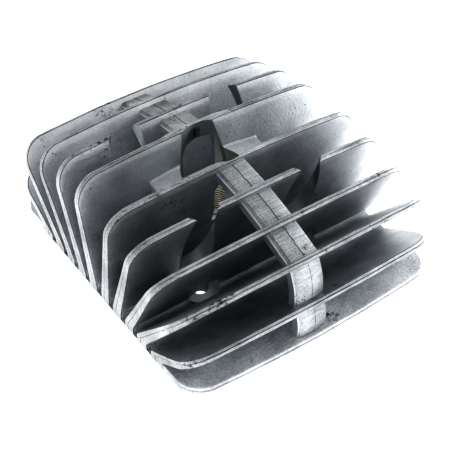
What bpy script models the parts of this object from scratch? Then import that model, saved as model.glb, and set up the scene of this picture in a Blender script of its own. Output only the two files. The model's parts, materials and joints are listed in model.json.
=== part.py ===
"""Air-cooled cylinder head: a fan of tapered cooling fins on a thin deck, machined for four
cylinder studs and one central spark plug.

Frame: +X along the fins, +Y to the rear, +Z up. The origin is the centre of the gasket face.
All driving dimensions are in millimetres; the mesh is written in metres.
"""

import math

import bmesh
import bpy
from mathutils import Vector

MM = 0.001
GAP = 0.3  # air left between neighbouring nodes so that no two solids touch

# Overall casting
HEAD_LENGTH = 124.0
HALF = HEAD_LENGTH / 2
DECK_TOP = 4.0
DECK_HALF_WIDTH = 51.0
FIN_FOOT = DECK_TOP + GAP

# Fins, counted 1 (outermost) to 6 (next to the plug): foot y on the gasket plane, then the
# y and z of the virtual upper corner, then the thickness at the foot and at the rim.
FINS = {
    1: (48.4, 70.3, 3.1, 7.6, 2.8),
    2: (39.6, 68.7, 19.4, 5.4, 2.8),
    3: (30.8, 63.4, 39.2, 6.0, 2.8),
    4: (22.0, 47.3, 45.6, 5.8, 2.8),
    5: (13.2, 30.4, 50.5, 6.4, 2.8),
    6: (4.4, 13.0, 53.1, 6.4, 2.8),
}
RIM_CROWN = 3.1  # how far the middle of a rim stands above its corners
RIM_RIDGE = 0.4  # height of the parting-line ridge along the rim
CORNER_RADIUS = 12.0
OUTER_FIN_START = DECK_HALF_WIDTH + GAP

# Machined pattern: plug axis, stud square, spot faces
PLUG_X = -2.5
STUD_HALF_X = 25.2
STUD_HALF_Y = 25.4
STUD_HOLE_RADIUS = 3.3
NUT_CUTTER_RADIUS = 8.5
NUT_SEAT_Z = 6.0
WELL_RADIUS = 14.2
PLUG_SEAT_Z = 24.6

# Combustion chamber and plug boss
CHAMBER_RADIUS = 20.5
CHAMBER_WALL_RADIUS = 23.0
DOME_TOP = 16.6
BOSS_RADIUS = 10.7
INSERT_RADIUS = 8.0
INSERT_BOTTOM = 11.6
THREAD_MINOR = 6.35
THREAD_MAJOR = 7.0
THREAD_PITCH = 1.25

# Solid web between the two middle fins, and the tie bars that join the fins
WEB_LEFT = -28.8
WEB_RIGHT = 25.9
WEB_TOP = 41.5
TIE_LEFT = -11.2
TIE_RIGHT = 2.9
TIE_BELOW_RIM = 2.4
TIE_DEPTH = 5.0

# Opening in each middle fin behind the plug well, as (x, z)
WINDOW = [(-11.2, 27.0), (6.0, 27.0), (6.0, 48.2), (-2.0, 48.0), (-7.5, 47.0), (-11.2, 43.0)]

CAST = (0.66, 0.67, 0.69)
MACHINED = (0.74, 0.74, 0.74)
BRONZE = (0.62, 0.52, 0.38)


def clear_scene():
    for thing in list(bpy.data.objects):
        bpy.data.objects.remove(thing, do_unlink=True)
    for mesh in list(bpy.data.meshes):
        bpy.data.meshes.remove(mesh)


def make_material(name, colour, roughness):
    material = bpy.data.materials.new(name)
    material.use_nodes = True
    shader = material.node_tree.nodes["Principled BSDF"]
    shader.inputs["Base Color"].default_value = (*colour, 1.0)
    shader.inputs["Metallic"].default_value = 1.0
    shader.inputs["Roughness"].default_value = roughness
    material.diffuse_color = (*colour, 1.0)
    return material


def add_object(name, bm):
    """Puts a bmesh built in millimetres into the scene in metres, with outward normals."""
    bmesh.ops.scale(bm, vec=Vector((MM, MM, MM)), verts=bm.verts)
    bmesh.ops.recalc_face_normals(bm, faces=bm.faces)
    mesh = bpy.data.meshes.new(name)
    bm.to_mesh(mesh)
    bm.free()
    thing = bpy.data.objects.new(name, mesh)
    bpy.context.scene.collection.objects.link(thing)
    return thing


def hide_cutter(thing):
    thing.hide_render = True
    thing.display_type = "WIRE"
    return thing


def cut(thing, cutters):
    """Adds one exact Boolean difference for each cutter."""
    for cutter in cutters:
        step = thing.modifiers.new("cut_" + cutter.name, "BOOLEAN")
        step.operation = "DIFFERENCE"
        step.solver = "EXACT"
        step.object = cutter


def finish(thing, colour, roughness):
    """Bakes the Booleans, gives the node its material and marks its crisp edges."""
    graph = bpy.context.evaluated_depsgraph_get()
    baked = bpy.data.meshes.new_from_object(thing.evaluated_get(graph))
    thing.modifiers.clear()
    thing.data = baked
    bm = bmesh.new()
    bm.from_mesh(baked)
    bmesh.ops.remove_doubles(bm, verts=bm.verts, dist=0.00001)
    bmesh.ops.dissolve_degenerate(bm, edges=bm.edges, dist=0.00001)
    bmesh.ops.triangulate(bm, faces=[f for f in bm.faces if len(f.verts) > 4])
    for face in bm.faces:
        face.smooth = True
    for edge in bm.edges:
        edge.smooth = edge.is_manifold and edge.calc_face_angle(0.0) < math.radians(32)
    bm.to_mesh(baked)
    bm.free()
    baked.name = thing.name
    baked.materials.clear()
    baked.materials.append(make_material(thing.name, colour, roughness))
    return thing


def revolve(name, profile, centre, segments=48):
    """Turns a closed (radius, z) profile round a vertical axis. Radius 0 is not used."""
    bm = bmesh.new()
    rings = []
    for step in range(segments):
        angle = 2 * math.pi * step / segments
        ring = []
        for radius, height in profile:
            x = centre[0] + radius * math.cos(angle)
            y = centre[1] + radius * math.sin(angle)
            ring.append(bm.verts.new((x, y, height)))
        rings.append(ring)
    for step in range(segments):
        near = rings[step]
        far = rings[(step + 1) % segments]
        for index in range(len(profile)):
            after = (index + 1) % len(profile)
            bm.faces.new((near[index], near[after], far[after], far[index]))
    return add_object(name, bm)


def disc_stack(name, profile, centre, segments=48):
    """A solid of revolution given as (radius, z) from bottom to top, closed by flat ends."""
    bm = bmesh.new()
    rings = []
    for radius, height in profile:
        ring = []
        for step in range(segments):
            angle = 2 * math.pi * step / segments
            x = centre[0] + radius * math.cos(angle)
            y = centre[1] + radius * math.sin(angle)
            ring.append(bm.verts.new((x, y, height)))
        rings.append(ring)
    for low, high in zip(rings, rings[1:]):
        for step in range(segments):
            after = (step + 1) % segments
            bm.faces.new((low[step], low[after], high[after], high[step]))
    bm.faces.new(list(reversed(rings[0])))
    bm.faces.new(rings[-1])
    return add_object(name, bm)


def prism_along_x(name, outline, x_low, x_high):
    """Extrudes a closed (y, z) outline from x_low to x_high."""
    bm = bmesh.new()
    left = [bm.verts.new((x_low, y, z)) for y, z in outline]
    right = [bm.verts.new((x_high, y, z)) for y, z in outline]
    bm.faces.new(left)
    bm.faces.new(list(reversed(right)))
    for index in range(len(outline)):
        after = (index + 1) % len(outline)
        bm.faces.new((left[index], left[after], right[after], right[index]))
    return add_object(name, bm)


class FinShape:
    """The plane, taper and rim of one fin, for the rear half. The front half mirrors it."""

    def __init__(self, number):
        foot_y, tip_y, tip_z, self.root, self.rim = FINS[number]
        self.height = math.hypot(tip_y - foot_y, tip_z)
        self.foot_y = foot_y
        self.rise = ((tip_y - foot_y) / self.height, tip_z / self.height)
        self.out = (self.rise[1], -self.rise[0])
        self.crown_height = self.height + RIM_CROWN

    def thickness(self, height):
        return self.root + (self.rim - self.root) * height / self.crown_height

    def point(self, height, face, extra=0.0):
        """(y, z) on a face: face -1 is toward the plug, +1 outward, 0 the middle plane."""
        offset = face * (self.thickness(height) / 2 + extra)
        y = self.foot_y + self.rise[0] * height + self.out[0] * offset
        z = self.rise[1] * height + self.out[1] * offset
        return y, z

    def rim_height(self, x):
        return self.height + RIM_CROWN * (1 - (x / HALF) ** 2)

    def face_y(self, z, face, extra=0.0):
        """y of a face at a given height above the gasket plane."""
        low, high = -5.0, self.crown_height + 5.0
        for _ in range(40):
            middle = (low + high) / 2
            if self.point(middle, face, extra)[1] < z:
                low = middle
            else:
                high = middle
        return self.point(low, face, extra)[0]


def fin_outline(shape):
    """(x, height, ridge direction) round the fin from the left foot over the rim."""
    arc_x = HALF - CORNER_RADIUS
    arc_h = shape.rim_height(arc_x) - CORNER_RADIUS
    right = []
    for step in range(7):
        angle = math.radians(90 * step / 6)
        x = arc_x + CORNER_RADIUS * math.cos(angle)
        height = arc_h + CORNER_RADIUS * math.sin(angle)
        right.append((x, height, math.cos(angle) * math.sin(angle), math.sin(angle)))
    rim = []
    for step in range(1, 8):
        x = arc_x * (1 - step / 4)
        if abs(x) < arc_x - 0.01:
            rim.append((x, shape.rim_height(x), 0.0, 1.0))
    left = [(-x, height, -dx, dh) for x, height, dx, dh in reversed(right)]
    foot_right = (HALF, -6.0, 0.0, 0.0)
    foot_left = (-HALF, -6.0, 0.0, 0.0)
    return [foot_right] + right + rim + left + [foot_left]


def slice_off(bm, point, normal):
    """Removes what lies on the negative side of a plane and caps the opening."""
    geometry = list(bm.verts) + list(bm.edges) + list(bm.faces)
    result = bmesh.ops.bisect_plane(
        bm, geom=geometry, plane_co=point, plane_no=normal, clear_inner=True, dist=1e-5
    )
    rim = [item for item in result["geom_cut"] if isinstance(item, bmesh.types.BMEdge)]
    bmesh.ops.contextual_create(bm, geom=rim)


def build_fin(name, number, side):
    shape = FinShape(number)
    bm = bmesh.new()
    loops = {-1: [], 0: [], 1: []}
    for x, height, dx, dh in fin_outline(shape):
        for face in (-1, 0, 1):
            lift = RIM_RIDGE if face == 0 else 0.0
            y, z = shape.point(height, face)
            if face == 0:
                y += shape.rise[0] * dh * lift
                z += shape.rise[1] * dh * lift
            loops[face].append(bm.verts.new((x + dx * lift, side * y, z)))
    count = len(loops[0])
    for low, high in ((-1, 0), (0, 1)):
        for index in range(count):
            after = (index + 1) % count
            corners = (loops[low][index], loops[low][after])
            bm.faces.new(corners + (loops[high][after], loops[high][index]))
    bm.faces.new(list(reversed(loops[-1])))
    bm.faces.new(loops[1])
    bmesh.ops.recalc_face_normals(bm, faces=bm.faces)
    if number == 1:
        slice_off(bm, Vector((0, 0, 0)), Vector((0, 0, 1)))
        slice_off(bm, Vector((0, side * OUTER_FIN_START, 0)), Vector((0, side, 0)))
    else:
        slice_off(bm, Vector((0, 0, FIN_FOOT)), Vector((0, 0, 1)))
    return add_object(name, bm)


def build_tie(name, inner_number, side):
    """The tie bar between a fin and the next one outward, just under their rims."""
    inner = FinShape(inner_number)
    outer = FinShape(inner_number - 1)
    inner_top = inner.crown_height - TIE_BELOW_RIM
    outer_top = outer.crown_height - TIE_BELOW_RIM
    start = inner.point(inner_top, 1, GAP)
    end = outer.point(outer_top, -1, GAP)
    end_low = outer.point(outer_top - TIE_DEPTH, -1, GAP)
    start_low = inner.point(inner_top - TIE_DEPTH, 1, GAP)
    span = math.hypot(end[0] - start[0], end[1] - start[1])
    bulge = 1.2 if span > 12 else 0.0
    across = ((end[1] - start[1]) / span, -(end[0] - start[0]) / span)
    outline = [start]
    for share in (0.25, 0.5, 0.75):
        swell = bulge * math.sin(math.pi * share)
        y = start[0] + (end[0] - start[0]) * share - across[0] * swell
        z = start[1] + (end[1] - start[1]) * share - across[1] * swell
        outline.append((y, z))
    outline += [end, end_low, start_low]
    outline = [(side * y, z) for y, z in outline]
    return prism_along_x(name, outline, TIE_LEFT, TIE_RIGHT)


def build_web(name, x_low, x_high):
    """Solid filling between the two middle fins, beside the plug boss."""
    shape = FinShape(6)
    heights = (FIN_FOOT, WEB_TOP)
    right = [(shape.face_y(z, -1, GAP), z) for z in heights]
    outline = [(-right[0][0], heights[0]), right[0], right[1], (-right[1][0], heights[1])]
    return prism_along_x(name, outline, x_low, x_high)


def build_deck(holes):
    bm = bmesh.new()
    bmesh.ops.create_cube(bm, size=1.0)
    size = Vector((HEAD_LENGTH, 2 * DECK_HALF_WIDTH, DECK_TOP))
    bmesh.ops.scale(bm, vec=size, verts=bm.verts)
    bmesh.ops.translate(bm, vec=Vector((0, 0, DECK_TOP / 2)), verts=bm.verts)
    deck = add_object("deck_plate", bm)
    cut(deck, holes)
    return finish(deck, CAST, 0.5)


def thread_profile():
    """Outer wall, end faces and a row of thread grooves for the plug insert."""
    top = PLUG_SEAT_Z - 0.2
    profile = [(INSERT_RADIUS, INSERT_BOTTOM), (INSERT_RADIUS, top)]
    profile.append((THREAD_MAJOR + 0.2, top))
    height = top - 0.6
    while height - THREAD_PITCH > INSERT_BOTTOM + 0.3:
        profile.append((THREAD_MINOR, height))
        profile.append((THREAD_MAJOR, height - THREAD_PITCH / 2))
        height -= THREAD_PITCH
    profile.append((THREAD_MINOR, height))
    profile.append((THREAD_MAJOR, INSERT_BOTTOM))
    return profile


clear_scene()

stud_places = {}
for end_name, end in (("left", -1), ("right", 1)):
    for half_name, half in (("front", -1), ("rear", 1)):
        centre = (PLUG_X + end * STUD_HALF_X, half * STUD_HALF_Y)
        stud_places[half_name + "_" + end_name] = centre
plug_centre = (PLUG_X, 0.0)

# Cutters
nut_cutters = {}
deck_cutters = []
for place, centre in stud_places.items():
    wall = [(NUT_CUTTER_RADIUS, 2.0), (NUT_CUTTER_RADIUS, 90.0)]
    nut_cutters[place] = hide_cutter(disc_stack("cutter_nut_" + place, wall, centre, 40))
    wall = [(NUT_CUTTER_RADIUS + 0.2, -2.0), (NUT_CUTTER_RADIUS + 0.2, 8.0)]
    deck_cutters.append(hide_cutter(disc_stack("cutter_deck_" + place, wall, centre, 40)))

dome_wall = [
    (CHAMBER_WALL_RADIUS, 4.0),
    (CHAMBER_WALL_RADIUS - 2.0, 8.0),
    (CHAMBER_WALL_RADIUS - 6.0, 12.2),
    (CHAMBER_WALL_RADIUS - 10.0, 15.4),
    (BOSS_RADIUS, DOME_TOP),
]
well_profile = [(CHAMBER_WALL_RADIUS + GAP, -2.0)]
well_profile += [(radius + GAP, height + GAP) for radius, height in dome_wall]
well_profile += [(BOSS_RADIUS + GAP, PLUG_SEAT_Z), (WELL_RADIUS, PLUG_SEAT_Z)]
well_profile += [(WELL_RADIUS, 90.0)]
well_cutter = hide_cutter(disc_stack("cutter_plug_well", well_profile, plug_centre, 56))
wall = [(CHAMBER_WALL_RADIUS + GAP, -2.0), (CHAMBER_WALL_RADIUS + GAP, 8.0)]
deck_cutters.append(hide_cutter(disc_stack("cutter_chamber", wall, plug_centre, 56)))

# Deck, stud seats, chamber, boss and insert
build_deck(deck_cutters)
for place, centre in stud_places.items():
    outer = NUT_CUTTER_RADIUS - 0.1
    ring = [(STUD_HOLE_RADIUS, 0.0), (outer, 0.0), (outer, NUT_SEAT_Z)]
    ring.append((STUD_HOLE_RADIUS, NUT_SEAT_Z))
    finish(revolve("stud_seat_" + place, ring, centre, 40), MACHINED, 0.3)

chamber_ring = [(CHAMBER_RADIUS, 0.0), (CHAMBER_WALL_RADIUS, 0.0)]
chamber_ring += dome_wall
chamber_ring += [
    (INSERT_RADIUS + GAP, DOME_TOP),
    (INSERT_RADIUS + GAP, 11.2),
    (13.0, 9.6),
    (17.0, 6.4),
    (19.6, 3.0),
]
finish(revolve("combustion_chamber", chamber_ring, plug_centre, 56), MACHINED, 0.4)

boss_ring = [(INSERT_RADIUS + GAP, DOME_TOP + GAP), (BOSS_RADIUS, DOME_TOP + GAP)]
boss_ring += [(BOSS_RADIUS, PLUG_SEAT_Z), (INSERT_RADIUS + GAP, PLUG_SEAT_Z)]
finish(revolve("plug_boss", boss_ring, plug_centre, 40), MACHINED, 0.3)
finish(revolve("plug_thread_insert", thread_profile(), plug_centre, 32), BRONZE, 0.35)

# Fins
def window_cutter(name, half):
    """A block behind the plug well that opens the middle fin toward the next gap."""
    bm = bmesh.new()
    ends = []
    for y in (half * 11.3, half * 18.0):
        ends.append([bm.verts.new((x, y, z)) for x, z in WINDOW])
    for index in range(len(WINDOW)):
        after = (index + 1) % len(WINDOW)
        bm.faces.new((ends[0][index], ends[0][after], ends[1][after], ends[1][index]))
    bm.faces.new(list(reversed(ends[0])))
    bm.faces.new(ends[1])
    bmesh.ops.recalc_face_normals(bm, faces=bm.faces)
    return hide_cutter(add_object(name, bm))


for half_name, half in (("rear", 1), ("front", -1)):
    studs = [nut_cutters[half_name + "_left"], nut_cutters[half_name + "_right"]]
    for number in FINS:
        fin = build_fin("fin_" + half_name + "_" + str(number), number, half)
        if number in (3, 4, 5):
            cut(fin, studs)
        if number in (4, 5, 6):
            cut(fin, [well_cutter])
        if number == 6:
            cut(fin, [window_cutter("cutter_window_" + half_name, half)])
        finish(fin, CAST, 0.5)

# Webs and tie bars
for web_name, low, high in (("left", WEB_LEFT, PLUG_X), ("right", PLUG_X, WEB_RIGHT)):
    web = build_web("centre_web_" + web_name, low, high)
    cut(web, [well_cutter])
    finish(web, CAST, 0.5)
for half_name, half in (("rear", 1), ("front", -1)):
    for number in (6, 5, 4, 3, 2):
        tie_name = "tie_bar_" + half_name + "_" + str(number) + "_to_" + str(number - 1)
        finish(build_tie(tie_name, number, half), CAST, 0.5)

for leftover in [thing for thing in bpy.data.objects if thing.hide_render]:
    bpy.data.objects.remove(leftover, do_unlink=True)
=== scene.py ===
# %% [markdown]
# # An air-cooled cylinder head
# A cylinder head closes the top of a small two-stroke engine. It is one aluminium casting: a thin
# deck, twelve cooling fins that fan out from it, a web and tie bars between the fins, and a few
# machined places for the nuts and the spark plug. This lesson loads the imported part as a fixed
# frame and builds the fine surface of every piece around it.

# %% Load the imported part
import math
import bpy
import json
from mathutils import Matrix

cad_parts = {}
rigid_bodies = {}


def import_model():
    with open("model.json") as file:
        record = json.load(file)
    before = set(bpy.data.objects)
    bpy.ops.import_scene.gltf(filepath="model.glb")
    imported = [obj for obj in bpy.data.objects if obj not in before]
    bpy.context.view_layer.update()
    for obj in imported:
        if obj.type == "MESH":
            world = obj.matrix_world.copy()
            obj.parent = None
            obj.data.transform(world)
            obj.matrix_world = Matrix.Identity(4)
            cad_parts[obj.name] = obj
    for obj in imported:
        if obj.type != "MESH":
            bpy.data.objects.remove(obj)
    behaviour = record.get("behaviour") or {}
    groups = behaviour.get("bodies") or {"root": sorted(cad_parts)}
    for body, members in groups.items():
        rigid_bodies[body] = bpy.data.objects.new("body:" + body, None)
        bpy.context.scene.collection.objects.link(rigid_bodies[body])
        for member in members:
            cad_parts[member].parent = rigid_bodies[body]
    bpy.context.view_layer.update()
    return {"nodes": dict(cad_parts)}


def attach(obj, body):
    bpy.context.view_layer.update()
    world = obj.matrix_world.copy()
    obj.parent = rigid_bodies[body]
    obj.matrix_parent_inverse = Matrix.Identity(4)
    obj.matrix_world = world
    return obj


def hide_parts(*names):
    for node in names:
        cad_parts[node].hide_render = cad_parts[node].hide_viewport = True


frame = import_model()
print("packed part:", len(frame["nodes"]), "nodes")

# %% [markdown]
# The frame is in metres, but a casting is drawn in millimetres. Every helper below works in
# millimetres and scales once, when a mesh is put into the scene. The driving sizes are the same
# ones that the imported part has: the middle of the fins is at x = 0, and the plug and the four
# studs sit a little to the left of it.

# %% Modules and driving sizes
import json

import bmesh
import bpy
from mathutils import Matrix, Vector, noise

MM = 0.001
HALF = 62.0
DECK_TOP = 4.0
DECK_HALF_WIDTH = 51.0
CORNER_RADIUS = 12.0
RIM_CROWN = 3.1
PLUG_X = -2.5
PLUG_SEAT_Z = 24.6
WELL_RADIUS = 14.2
NUT_RADIUS = 8.5
NUT_SEAT_Z = 6.0
STUD_HOLE_RADIUS = 3.3
STUDS = {
    "front_left": (PLUG_X - 25.2, -25.4),
    "front_right": (PLUG_X + 25.2, -25.4),
    "rear_left": (PLUG_X - 25.2, 25.4),
    "rear_right": (PLUG_X + 25.2, 25.4),
}
print("plug axis at x =", PLUG_X, "mm;", len(STUDS), "studs")

# %% [markdown]
# Every finish below is a small tree of shader nodes. Three helpers keep the wiring readable: one
# adds a node, one sets its inputs by name, and one starts a node group with named inputs and
# outputs. An input whose value is a tuple is a colour, and any other is a number.


# %% Helpers to wire shader nodes
def add_node(tree, kind, place, **settings):
    node = tree.nodes.new(kind)
    node.location = place
    for key, value in settings.items():
        setattr(node, key, value)
    return node


def set_inputs(node, values):
    for title, value in values.items():
        node.inputs[title].default_value = value


def new_group(name, inputs, outputs):
    group = bpy.data.node_groups.new(name, "ShaderNodeTree")
    for title, value in inputs.items():
        kind = "NodeSocketColor" if isinstance(value, tuple) else "NodeSocketFloat"
        socket = group.interface.new_socket(title, in_out="INPUT", socket_type=kind)
        socket.default_value = value
    for title in outputs:
        kind = "NodeSocketColor" if title == "Colour" else "NodeSocketFloat"
        group.interface.new_socket(title, in_out="OUTPUT", socket_type=kind)
    start = add_node(group, "NodeGroupInput", (-900, 0))
    end = add_node(group, "NodeGroupOutput", (900, 0))
    return group, start, end


print("shader helpers ready")

# %% [markdown]
# Bare cast alloy is never one flat grey. Its skin has a fine sandy grain, slow cloudy changes of
# tone and a few small pits. The grain and the clouds are noises of two sizes. The pits are the
# middles of small cells, and a wider noise keeps them only in some places, so that they come in
# loose clusters as real ones do. Every finish needs this, so it is a node group.

# %% Node group: cast skin
PIT_RADIUS = 0.15
PIT_RAREST = 0.72
PIT_SPREAD = 0.2
cast_skin, skin_in, skin_out = new_group(
    "Cast skin",
    {"Grain per metre": 1500.0, "Pit amount": 0.5},
    ["Grain", "Cloud", "Pits"],
)
where = add_node(cast_skin, "ShaderNodeTexCoord", (-700, 200))
grain = add_node(cast_skin, "ShaderNodeTexNoise", (-400, 300))
set_inputs(grain, {"Detail": 5.0, "Roughness": 0.65})
cloud = add_node(cast_skin, "ShaderNodeTexNoise", (-400, 0))
set_inputs(cloud, {"Scale": 60.0, "Detail": 6.0, "Roughness": 0.6})
pits = add_node(cast_skin, "ShaderNodeTexVoronoi", (-400, -300))
set_inputs(pits, {"Scale": 420.0})
pit_size = add_node(cast_skin, "ShaderNodeMath", (-150, -300), operation="LESS_THAN")
pit_size.inputs[1].default_value = PIT_RADIUS
pit_pick = add_node(cast_skin, "ShaderNodeTexNoise", (-400, -600))
set_inputs(pit_pick, {"Scale": 150.0})
pit_gate = add_node(cast_skin, "ShaderNodeMath", (-150, -600), operation="GREATER_THAN")
pit_limit = add_node(cast_skin, "ShaderNodeMath", (-400, -800), operation="MULTIPLY_ADD")
pit_limit.inputs[1].default_value = -PIT_SPREAD
pit_limit.inputs[2].default_value = PIT_RAREST
pit_both = add_node(cast_skin, "ShaderNodeMath", (150, -400), operation="MULTIPLY")
for target in (grain, cloud, pits, pit_pick):
    cast_skin.links.new(where.outputs["Object"], target.inputs["Vector"])
cast_skin.links.new(skin_in.outputs["Grain per metre"], grain.inputs["Scale"])
cast_skin.links.new(skin_in.outputs["Pit amount"], pit_limit.inputs[0])
cast_skin.links.new(pits.outputs["Distance"], pit_size.inputs[0])
cast_skin.links.new(pit_pick.outputs["Fac"], pit_gate.inputs[0])
cast_skin.links.new(pit_limit.outputs[0], pit_gate.inputs[1])
cast_skin.links.new(pit_size.outputs[0], pit_both.inputs[0])
cast_skin.links.new(pit_gate.outputs[0], pit_both.inputs[1])
cast_skin.links.new(grain.outputs["Fac"], skin_out.inputs["Grain"])
cast_skin.links.new(cloud.outputs["Fac"], skin_out.inputs["Cloud"])
cast_skin.links.new(pit_both.outputs[0], skin_out.inputs["Pits"])
print("group:", cast_skin.name)

# %% [markdown]
# Handling leaves two kinds of mark: dark greasy smudges in patches, and fine scratches that run
# along the fins, because that is how a head is dragged over a bench and brushed clean. Scratches
# come from a noise that is stretched along X. A smudge is where a wide patchy noise times a fine
# speckle passes a limit, so its edge breaks up into specks.

# %% Node group: handling marks
SMUDGE_RAREST = 0.42
SMUDGE_SPREAD = 0.12
SMUDGE_EDGE = 0.10
SCRATCHES_PER_METRE = (60.0, 1800.0, 1800.0)
handling, hand_in, hand_out = new_group(
    "Handling marks", {"Smudge amount": 0.4}, ["Smudge", "Scratch"]
)
where = add_node(handling, "ShaderNodeTexCoord", (-800, 200))
stretch = add_node(handling, "ShaderNodeVectorMath", (-600, 300), operation="MULTIPLY")
stretch.inputs[1].default_value = SCRATCHES_PER_METRE
scratch = add_node(handling, "ShaderNodeTexNoise", (-400, 300))
set_inputs(scratch, {"Scale": 1.0, "Detail": 3.0})
patch = add_node(handling, "ShaderNodeTexNoise", (-400, 0))
set_inputs(patch, {"Scale": 55.0, "Detail": 2.0})
speckle = add_node(handling, "ShaderNodeTexNoise", (-400, -300))
set_inputs(speckle, {"Scale": 480.0, "Detail": 6.0, "Roughness": 0.7})
both = add_node(handling, "ShaderNodeMath", (-150, -100), operation="MULTIPLY")
edge_start = add_node(handling, "ShaderNodeMath", (-150, -350), operation="MULTIPLY_ADD")
edge_start.inputs[1].default_value = -SMUDGE_SPREAD
edge_start.inputs[2].default_value = SMUDGE_RAREST
edge_end = add_node(handling, "ShaderNodeMath", (100, -350), operation="ADD")
edge_end.inputs[1].default_value = SMUDGE_EDGE
soft_edge = add_node(handling, "ShaderNodeMapRange", (350, -100))
for target in (stretch, patch, speckle):
    handling.links.new(where.outputs["Object"], target.inputs[0])
handling.links.new(stretch.outputs[0], scratch.inputs["Vector"])
handling.links.new(patch.outputs["Fac"], both.inputs[0])
handling.links.new(speckle.outputs["Fac"], both.inputs[1])
handling.links.new(hand_in.outputs["Smudge amount"], edge_start.inputs[0])
handling.links.new(edge_start.outputs[0], edge_end.inputs[0])
handling.links.new(both.outputs[0], soft_edge.inputs["Value"])
handling.links.new(edge_start.outputs[0], soft_edge.inputs["From Min"])
handling.links.new(edge_end.outputs[0], soft_edge.inputs["From Max"])
handling.links.new(soft_edge.outputs["Result"], hand_out.inputs["Smudge"])
handling.links.new(scratch.outputs["Fac"], hand_out.inputs["Scratch"])
print("group:", handling.name)

# %% [markdown]
# The masks become a surface in a third group. The clouds set the base tone between a dark and a
# light grey, grain and scratches shift it up and down, and smudges and pits cover it with dirt.
# Sharing one group keeps the cast finishes related, and each sets its own values.

# %% Node group: worn alloy, its tone
GREY = (0.5, 0.5, 0.5, 1.0)
worn_alloy, worn_in, worn_out = new_group(
    "Worn alloy",
    {
        "Dark": GREY,
        "Light": GREY,
        "Dirt": GREY,
        "Grain": 0.5,
        "Cloud": 0.5,
        "Pits": 0.0,
        "Smudge": 0.0,
        "Scratch": 0.5,
        "Speckle": 1.0,
        "Streak": 1.0,
        "Smoothest": 0.3,
        "Roughest": 0.5,
        "Scratch depth": 1.0,
    },
    ["Colour", "Roughness", "Height"],
)
spread = add_node(worn_alloy, "ShaderNodeMapRange", (-600, 400))
set_inputs(spread, {"From Min": 0.3, "From Max": 0.7})
worn_alloy.links.new(worn_in.outputs["Cloud"], spread.inputs["Value"])
tone_share = spread.outputs["Result"]
for mask, weight in (("Grain", "Speckle"), ("Scratch", "Streak")):
    centred = add_node(worn_alloy, "ShaderNodeMath", (-600, 700), operation="SUBTRACT")
    centred.inputs[1].default_value = 0.5
    shifted = add_node(worn_alloy, "ShaderNodeMath", (-400, 700), operation="MULTIPLY_ADD")
    worn_alloy.links.new(worn_in.outputs[mask], centred.inputs[0])
    worn_alloy.links.new(centred.outputs[0], shifted.inputs[0])
    worn_alloy.links.new(worn_in.outputs[weight], shifted.inputs[1])
    worn_alloy.links.new(tone_share, shifted.inputs[2])
    tone_share = shifted.outputs[0]
tone = add_node(worn_alloy, "ShaderNodeMix", (-100, 300), data_type="RGBA")
dirty = add_node(worn_alloy, "ShaderNodeMix", (200, 300), data_type="RGBA")
dirt_mask = add_node(worn_alloy, "ShaderNodeMath", (-100, 0), operation="MAXIMUM")
worn_alloy.links.new(tone_share, tone.inputs[0])
worn_alloy.links.new(worn_in.outputs["Dark"], tone.inputs[6])
worn_alloy.links.new(worn_in.outputs["Light"], tone.inputs[7])
worn_alloy.links.new(worn_in.outputs["Smudge"], dirt_mask.inputs[0])
worn_alloy.links.new(worn_in.outputs["Pits"], dirt_mask.inputs[1])
worn_alloy.links.new(dirt_mask.outputs[0], dirty.inputs[0])
worn_alloy.links.new(tone.outputs[2], dirty.inputs[6])
worn_alloy.links.new(worn_in.outputs["Dirt"], dirty.inputs[7])
worn_alloy.links.new(dirty.outputs[2], worn_out.inputs["Colour"])
print("group:", worn_alloy.name, "has its colour")

# %% [markdown]
# The same scratches also change the roughness, because a rubbed line is smoother than the skin
# beside it. Grain, pits and scratches together make a height for the bump: grain stands up, pits
# go down, and scratches are added with a depth that each finish sets.

# %% Node group: worn alloy, its gloss and height
gloss = add_node(worn_alloy, "ShaderNodeMapRange", (200, 0))
set_inputs(gloss, {"From Min": 0.25, "From Max": 0.75})
worn_alloy.links.new(worn_in.outputs["Scratch"], gloss.inputs["Value"])
worn_alloy.links.new(worn_in.outputs["Smoothest"], gloss.inputs["To Min"])
worn_alloy.links.new(worn_in.outputs["Roughest"], gloss.inputs["To Max"])
pitted = add_node(worn_alloy, "ShaderNodeMath", (-100, -400), operation="SUBTRACT")
scored = add_node(worn_alloy, "ShaderNodeMath", (200, -400), operation="MULTIPLY_ADD")
worn_alloy.links.new(worn_in.outputs["Grain"], pitted.inputs[0])
worn_alloy.links.new(worn_in.outputs["Pits"], pitted.inputs[1])
worn_alloy.links.new(worn_in.outputs["Scratch"], scored.inputs[0])
worn_alloy.links.new(worn_in.outputs["Scratch depth"], scored.inputs[1])
worn_alloy.links.new(pitted.outputs[0], scored.inputs[2])
worn_alloy.links.new(gloss.outputs["Result"], worn_out.inputs["Roughness"])
worn_alloy.links.new(scored.outputs[0], worn_out.inputs["Height"])
print("group:", worn_alloy.name, "has its roughness and height")

# %% [markdown]
# Each finish is one Principled shader. Metal gets its look from what it mirrors, so the colour
# stays pale and the roughness does most of the work. The material only joins the three groups to
# the shader and puts the height through a bump.


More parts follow.
